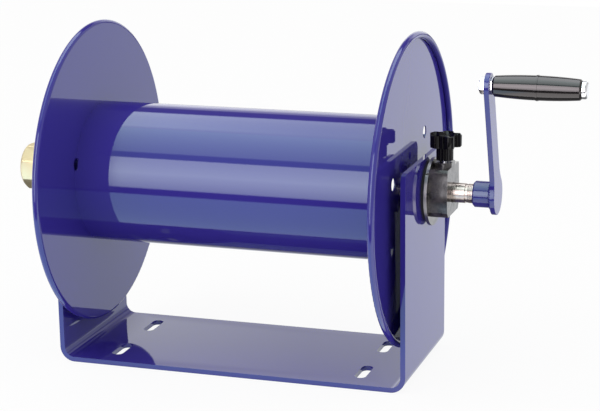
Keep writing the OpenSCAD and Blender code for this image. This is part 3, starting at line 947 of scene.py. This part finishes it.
@dataclass
class Crank:
    """The arm, its hub, the threaded end of the axle, and the grip's fasteners."""

    shop: Workshop
    axis: ReelAxis
    arm_edge: float = 0.5 * MM
    fastener_edge: float = 0.3 * MM
    thread_length: float = 6.4 * MM
    thread_core: float = 9.0 * MM
    thread_pitch: float = 1.5 * MM
    thread_depth: float = 0.5 * MM
    sink: float = 0.1 * MM
    bead: float = 1.5 * MM
    bead_out: float = 0.2
    bead_back: float = 0.8
    ripples: int = 26
    bead_smooth: float = 60.0

    def build(self) -> None:
        """Softens the arm and the fasteners and adds the thread and the weld bead."""
        self.shop.softened("crank_arm", Body.DRUM, Slot.BLUE_PAINT, self.arm_edge)
        self.shop.softened("grip_nut", Body.DRUM, Slot.ZINC_STEEL, self.fastener_edge)
        self.shop.softened("grip_spacer", Body.DRUM, Slot.ZINC_STEEL, self.fastener_edge)
        self._thread()
        self._bead()

    def _thread(self) -> None:
        """Adds the bare thread between the shaft's groove and the hub."""
        hub_low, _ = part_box("crank_hub")
        ridge = helical_ridge(
            self.thread_core - self.sink, self.thread_core + self.thread_depth - self.sink,
            self.thread_pitch, self.thread_length,
        )
        lay_along_x(ridge, self.axis.at(hub_low.x - self.thread_length))
        self.shop.piece("crank_thread", ridge, Body.DRUM, Slot.BARE_STEEL)

    def _bead(self) -> None:
        """Adds the weld bead between the hub and the arm."""
        low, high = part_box("crank_hub")
        radius = (high.z - low.z) / 2
        bead = weld_bead(radius + self.bead * self.bead_out, self.bead, self.ripples)
        lay_along_x(bead, self.axis.at(high.x - self.bead * self.bead_back))
        self.shop.piece(
            "crank_weld", bead, Body.DRUM, Slot.BLUE_PAINT, smooth=self.bead_smooth
        )


@dataclass
class Brake:
    """The knob and its screw."""

    shop: Workshop
    pitch: float = 1.5 * MM
    thread_depth: float = 0.55 * MM
    sink: float = 0.05 * MM
    core_faces: int = 40
    knob_edge: float = 0.9 * MM
    knob_wall: float = 2.3 * MM
    knob_hollow: float = 3.0 * MM
    near: float = 0.01 * MM

    def build(self) -> None:
        """Softens and hollows the knob and cuts the screw's thread."""
        knob = self.shop.softened("brake_knob", Body.KNOB, Slot.KNOB_PLASTIC, self.knob_edge)
        self._hollow(knob)
        self._screw()

    def _hollow(self, knob: bpy.types.Object) -> None:
        """Sinks the top of the knob's head inside a thin wall.

        Args:
            knob: The softened knob.
        """
        shape = bmesh.new()
        shape.from_mesh(knob.data)
        top = max(vert.co.z for vert in shape.verts)
        faces = [face for face in shape.faces if face.calc_center_median().z > top - self.near]
        bmesh.ops.inset_region(shape, faces=faces, thickness=self.knob_wall)
        bmesh.ops.translate(
            shape, vec=(0, 0, -self.knob_hollow),
            verts=list({vert for face in faces for vert in face.verts}),
        )
        shape.to_mesh(knob.data)
        shape.free()

    def _screw(self) -> None:
        """Puts a threaded stud in place of the plain one."""
        low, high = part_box("brake_screw")
        radius = (high.x - low.x) / 2
        length = high.z - low.z
        core_r = radius - self.thread_depth
        shape = helical_ridge(core_r - self.sink, radius, self.pitch, length)
        bmesh.ops.create_cone(
            shape, cap_ends=True, segments=self.core_faces, radius1=core_r, radius2=core_r,
            depth=length, matrix=Matrix.Translation((0, 0, length / 2)),
        )
        foot = Vector(((low.x + high.x) / 2, (low.y + high.y) / 2, low.z))
        bmesh.ops.translate(shape, vec=foot, verts=shape.verts)
        stud = self.shop.piece("brake_stud", shape, Body.KNOB, Slot.ZINC_STEEL)
        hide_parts("brake_screw")


@dataclass
class Inlet:
    """The brass body that the supply hose screws into."""

    shop: Workshop
    axis: ReelAxis
    body_edge: float = 0.6 * MM
    mouth_r: float = 12.1 * MM
    mouth_depth: float = 14.5 * MM
    mouth_start: float = 1.0 * MM
    pitch: float = 1.8 * MM
    thread_depth: float = 0.7 * MM
    sink: float = 0.05 * MM

    def build(self) -> None:
        """Softens the body and cuts its inside thread."""
        self.shop.softened("inlet_body", Body.INLET, Slot.BRASS, self.body_edge)
        low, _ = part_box("inlet_body")
        ridge = helical_ridge(
            self.mouth_r + self.sink, self.mouth_r - self.thread_depth, self.pitch,
            self.mouth_depth,
        )
        lay_along_x(ridge, self.axis.at(low.x + self.mouth_start))
        self.shop.piece("inlet_thread", ridge, Body.INLET, Slot.BRASS)


# Studio


@dataclass(frozen=True)
class Card:
    """A strip of the studio seen in the gloss, between two heights round the reel's axis.

    Heights are angles in degrees: 0 is level to the front, 90 is up, 180 is to the back.
    """

    low: float
    high: float
    low_level: float
    high_level: float
    tint: Colour = (0.98, 0.95, 1.0)


@dataclass
class Sky:
    """The studio round the reel.

    The cards' levels are scaled from left to right, by sides behind the reel and by fronts
    before it: each pair is a direction's x and the factor there. front_to_back is where one
    changes into the other, in a direction's y. Beyond ends, in x, a plain screen is seen.
    """

    brightest: float = 6.8
    side_scale: float = 1.5
    cards: tuple[Card, ...] = (
        Card(-180, -20, 0.25, 0.25, WHITE),
        Card(-19.5, -12, 0.0, 0.0),
        Card(-11, 10, 3.8, 6.4),
        Card(11, 37, 6.8, 5.2),
        Card(38, 46, 0.7, 0.7, (0.6, 1.0, 1.0)),
        Card(47.5, 90, 2.4, 4.2, (0.82, 0.98, 1.0)),
        Card(91, 130, 3.4, 2.1, (0.89, 0.96, 1.0)),
        Card(133, 148, 0.1, 0.1),
        Card(152, 157, 0.6, 0.6),
        Card(161, 180, 1.0, 1.0, WHITE),
    )
    sides: tuple[tuple[float, float], ...] = (
        (-0.38, 1.55), (-0.30, 1.25), (0.10, 1.4), (0.32, 1.4), (0.37, 0.3),
    )
    fronts: tuple[tuple[float, float], ...] = (
        (-0.5, 1.0), (0.02, 1.0), (0.14, 0.15), (1.0, 0.15),
    )
    front_to_back: tuple[float, float] = (0.0, 0.1)
    ends: tuple[float, float] = (0.405, 0.42)
    end_colour: Colour = (0.8, 0.8, 0.8)
    end_level: float = 0.95
    ambient: float = 0.85

    def build(self) -> None:
        """White to the camera, plain to diffuse light, and strips of card to the gloss."""
        world = bpy.data.worlds.new("studio")
        bpy.context.scene.world = world
        world.use_nodes = True
        world.node_tree.nodes.clear()
        nodes = TreeBuilder(world.node_tree)
        way = nodes.node("ShaderNodeTexCoord").outputs["Generated"]
        towards = nodes.node("ShaderNodeSeparateXYZ", {"Vector": way}).outputs

        strip = nodes.background(
            self._colour(nodes, towards["Y"], towards["Z"]),
            self._level(nodes, towards["X"], towards["Y"]),
        )
        screen = nodes.background((*self.end_colour, 1.0), self.end_level)
        endward = nodes.maths("ABSOLUTE", towards["X"])
        gloss = nodes.mix_shaders(nodes.spread(endward, *self.ends), strip, screen)

        plain = nodes.background((*WHITE, 1.0), self.ambient)
        seen = nodes.background((*WHITE, 1.0), 1.0)
        rays = nodes.node("ShaderNodeLightPath").outputs
        unseen = nodes.mix_shaders(rays["Is Glossy Ray"], plain, gloss)
        surface = nodes.mix_shaders(rays["Is Camera Ray"], unseen, seen)
        nodes.node("ShaderNodeOutputWorld", {"Surface": surface})
        LOG.info("studio with %d cards", len(self.cards))

    def _colour(
        self, nodes: TreeBuilder, y: bpy.types.NodeSocket, z: bpy.types.NodeSocket
    ) -> bpy.types.NodeSocket:
        """Reads the cards' colour off a direction's height round the reel's axis.

        Args:
            nodes: The builder of the world's tree.
            y: The direction's y.
            z: The direction's z.

        Returns:
            The colour's socket; 1 stands for the brightest level.
        """
        forward = nodes.maths("MULTIPLY", y, -1.0)
        height = nodes.maths("ARCTAN2", z, forward)
        stops = []
        for card in self.cards:
            for angle, level in ((card.low, card.low_level), (card.high, card.high_level)):
                value = level / self.brightest
                colour = tuple(value * part for part in card.tint)
                stops.append(((angle + 180) / 360, colour))
        return nodes.ramp(nodes.spread(height, -math.pi, math.pi), stops)

    def _level(
        self, nodes: TreeBuilder, x: bpy.types.NodeSocket, y: bpy.types.NodeSocket
    ) -> bpy.types.NodeSocket:
        """Reads the cards' strength off a direction's x, before and behind the reel.

        Args:
            nodes: The builder of the world's tree.
            x: The direction's x.
            y: The direction's y.

        Returns:
            The strength's socket.
        """
        across = nodes.spread(x, -1.0, 1.0)
        back = self._ramp_across(nodes, across, self.sides)
        fore = self._ramp_across(nodes, across, self.fronts)
        share = nodes.mix("FLOAT", nodes.spread(y, *self.front_to_back), fore, back)
        return nodes.maths("MULTIPLY", share, self.brightest * self.side_scale)

    def _ramp_across(
        self, nodes: TreeBuilder, across: bpy.types.NodeSocket,
        places: tuple[tuple[float, float], ...],
    ) -> bpy.types.NodeSocket:
        """Adds how bright one half of the studio is from left to right.

        Args:
            nodes: The builder of the world's tree.
            across: The direction's x, mapped to run from 0 to 1.
            places: Pairs of a direction's x and its brightness.

        Returns:
            The brightness's socket; 1 stands for side_scale.
        """
        stops = [((x + 1) / 2, (level / self.side_scale,) * 3) for x, level in places]
        return nodes.ramp(across, stops)


@dataclass
class Floor:
    """A plain pale floor that fades to the white background.

    What the gloss shows of it is stated apart. In front of the reel it is bluish, white at
    the right, and ends in the dark. Behind the reel it is white, and darker where it is
    looked down on. front_edge and front_to_back in y, and blue_to_white in x, say where one
    look changes into the next. looked_down_on gives a ray's z at which the floor behind is
    brightest and at which it is darkest, and then those two levels.
    """

    half_width: float = 1.6
    front: float = -0.58
    back: float = 2.6
    drop: float = 0.2 * MM
    colour: Colour = (0.9, 0.9, 0.9)
    fade: float = 0.92
    front_level: float = 2.3
    front_edge: tuple[float, float] = (-0.51, -0.46)
    front_to_back: tuple[float, float] = (-0.085, -0.07)
    blue_to_white: tuple[float, float] = (0.14, 0.18)
    looked_down_on: tuple[float, float, float, float] = (0.25, 0.69, 1.0, 0.17)
    front_tint: Colour = (0.62, 0.81, 1.0)
    back_tint: Colour = (1.17, 1.19, 1.22)

    def build(self) -> None:
        """Makes the floor and its material."""
        shape = bmesh.new()
        bmesh.ops.create_grid(shape, x_segments=1, y_segments=1, size=1.0)
        depth = (self.back - self.front) / 2
        bmesh.ops.scale(shape, vec=(self.half_width, depth, 1.0), verts=shape.verts)
        middle = (self.back + self.front) / 2
        bmesh.ops.translate(shape, vec=(0.0, middle, -self.drop), verts=shape.verts)
        mesh = bpy.data.meshes.new("floor")
        shape.to_mesh(mesh)
        shape.free()
        floor = bpy.data.objects.new("floor", mesh)
        bpy.context.scene.collection.objects.link(floor)
        mesh.materials.append(self._material())
        LOG.info("floor from y %.2f to %.2f", self.front, self.back)

    def _material(self) -> bpy.types.Material:
        """Makes the floor's material.

        Returns:
            The material.
        """
        material = bpy.data.materials.new("pale_floor")
        material.use_nodes = True
        material.node_tree.nodes.clear()
        nodes = TreeBuilder(material.node_tree)
        matt = nodes.node("ShaderNodeBsdfDiffuse", {"Color": (*self.colour, 1.0)}).outputs[0]
        white = nodes.node(
            "ShaderNodeEmission", {"Color": (*WHITE, 1.0), "Strength": 1.0}
        ).outputs[0]
        rays = nodes.node("ShaderNodeLightPath").outputs
        share = nodes.maths("MULTIPLY", rays["Is Camera Ray"], self.fade)
        plain = nodes.mix_shaders(share, matt, white)
        surface = nodes.mix_shaders(rays["Is Glossy Ray"], plain, self._gloss(nodes))
        nodes.node("ShaderNodeOutputMaterial", {"Surface": surface})
        return material

    def _gloss(self, nodes: TreeBuilder) -> bpy.types.NodeSocket:
        """Adds what the reel's gloss shows of the floor.

        Args:
            nodes: The builder of the material's tree.

        Returns:
            The emission's socket.
        """
        place = nodes.node("ShaderNodeTexCoord").outputs["Object"]
        at = nodes.node("ShaderNodeSeparateXYZ", {"Vector": place}).outputs
        incoming = nodes.node("ShaderNodeNewGeometry").outputs["Incoming"]
        towards = nodes.node("ShaderNodeSeparateXYZ", {"Vector": incoming}).outputs

        behind = nodes.spread(at["Y"], *self.front_to_back)
        before = nodes.maths(
            "MULTIPLY", self.front_level, nodes.spread(at["Y"], *self.front_edge)
        )
        after = nodes.spread(towards["Z"], *self.looked_down_on)
        hue = nodes.mix(
            "RGBA", nodes.spread(at["X"], *self.blue_to_white), (*self.front_tint, 1.0),
            (*WHITE, 1.0),
        )
        emission = nodes.node("ShaderNodeEmission", {
            "Color": nodes.mix("RGBA", behind, hue, (*self.back_tint, 1.0)),
            "Strength": nodes.mix("FLOAT", behind, before, after),
        })
        return emission.outputs[0]


@dataclass
class Lamp:
    """One large soft lamp, above and to the front."""

    size: float = 1.6
    power: float = 10.0
    place: tuple[float, float, float] = (-0.6, -1.0, 1.8)
    target: tuple[float, float, float] = (0.0, 0.0, 0.15)

    def build(self) -> None:
        """Makes the lamp and aims it."""
        light = bpy.data.lights.new("soft_lamp", "AREA")
        light.shape = "SQUARE"
        light.size = self.size
        light.energy = self.power
        lamp = bpy.data.objects.new("soft_lamp", light)
        lamp.location = self.place
        aim = Vector(self.target) - lamp.location
        lamp.rotation_euler = aim.to_track_quat("-Z", "Y").to_euler()
        lamp.visible_glossy = False
        bpy.context.scene.collection.objects.link(lamp)
        LOG.info("lamp of %.0f W", self.power)


@dataclass
class Studio:
    """World, floor and lamp."""

    sky: Sky = field(default_factory=Sky)
    floor: Floor = field(default_factory=Floor)
    lamp: Lamp = field(default_factory=Lamp)

    def build(self) -> None:
        """Makes the world, the floor and the lamp."""
        bpy.context.scene.view_settings.view_transform = "Standard"
        self.sky.build()
        self.floor.build()
        self.lamp.build()


@dataclass
class PhotoCamera:
    """The photograph's camera, fitted to its outlines."""

    place: tuple[float, float, float] = (0.588454, -1.598188, 0.583515)
    yaw: float = 17.401
    pitch: float = 14.229
    roll: float = -0.519
    focal_px: float = 1771.03
    centre_px: tuple[float, float] = (335.83, 205.66)
    image_px: tuple[int, int] = (600, 411)
    sensor: float = 36.0

    def build(self) -> None:
        """Makes the camera and sets it as the scene's."""
        yaw = math.radians(self.yaw)
        pitch = math.radians(self.pitch)
        roll = math.radians(self.roll)
        ahead = Vector((
            -math.sin(yaw) * math.cos(pitch), math.cos(yaw) * math.cos(pitch), -math.sin(pitch),
        ))
        level = Vector((math.cos(yaw), math.sin(yaw), 0.0))
        upright = level.cross(ahead)
        right = math.cos(roll) * level + math.sin(roll) * upright
        top = math.cos(roll) * upright - math.sin(roll) * level
        data = bpy.data.cameras.new("photo_camera")
        width, height = self.image_px
        data.sensor_fit = "HORIZONTAL"
        data.sensor_width = self.sensor
        data.lens = self.focal_px * self.sensor / width
        data.shift_x = (width / 2 - self.centre_px[0]) / width
        data.shift_y = (self.centre_px[1] - height / 2) / width
        camera = bpy.data.objects.new("photo_camera", data)
        camera.matrix_world = Matrix((
            (right.x, top.x, -ahead.x, self.place[0]),
            (right.y, top.y, -ahead.y, self.place[1]),
            (right.z, top.z, -ahead.z, self.place[2]),
            (0.0, 0.0, 0.0, 1.0),
        ))
        bpy.context.scene.collection.objects.link(camera)
        bpy.context.scene.camera = camera
        LOG.info("camera with a %.1f mm lens", data.lens)


def main() -> None:
    """Builds every part of the scene in order."""
    logging.basicConfig(level=logging.INFO, format="%(message)s")
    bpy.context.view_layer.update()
    PhotoCamera().build()
    Studio().build()
    book = FinishBook()
    book.build()
    book.dress_nodes()
    shop = Workshop(book)
    axis = ReelAxis()
    BaseFrame(shop).build()
    BearingHousings(shop, axis).build()
    Crank(shop, axis).build()
    Brake(shop).build()
    Inlet(shop, axis).build()


if __name__ == "__main__":
    main()
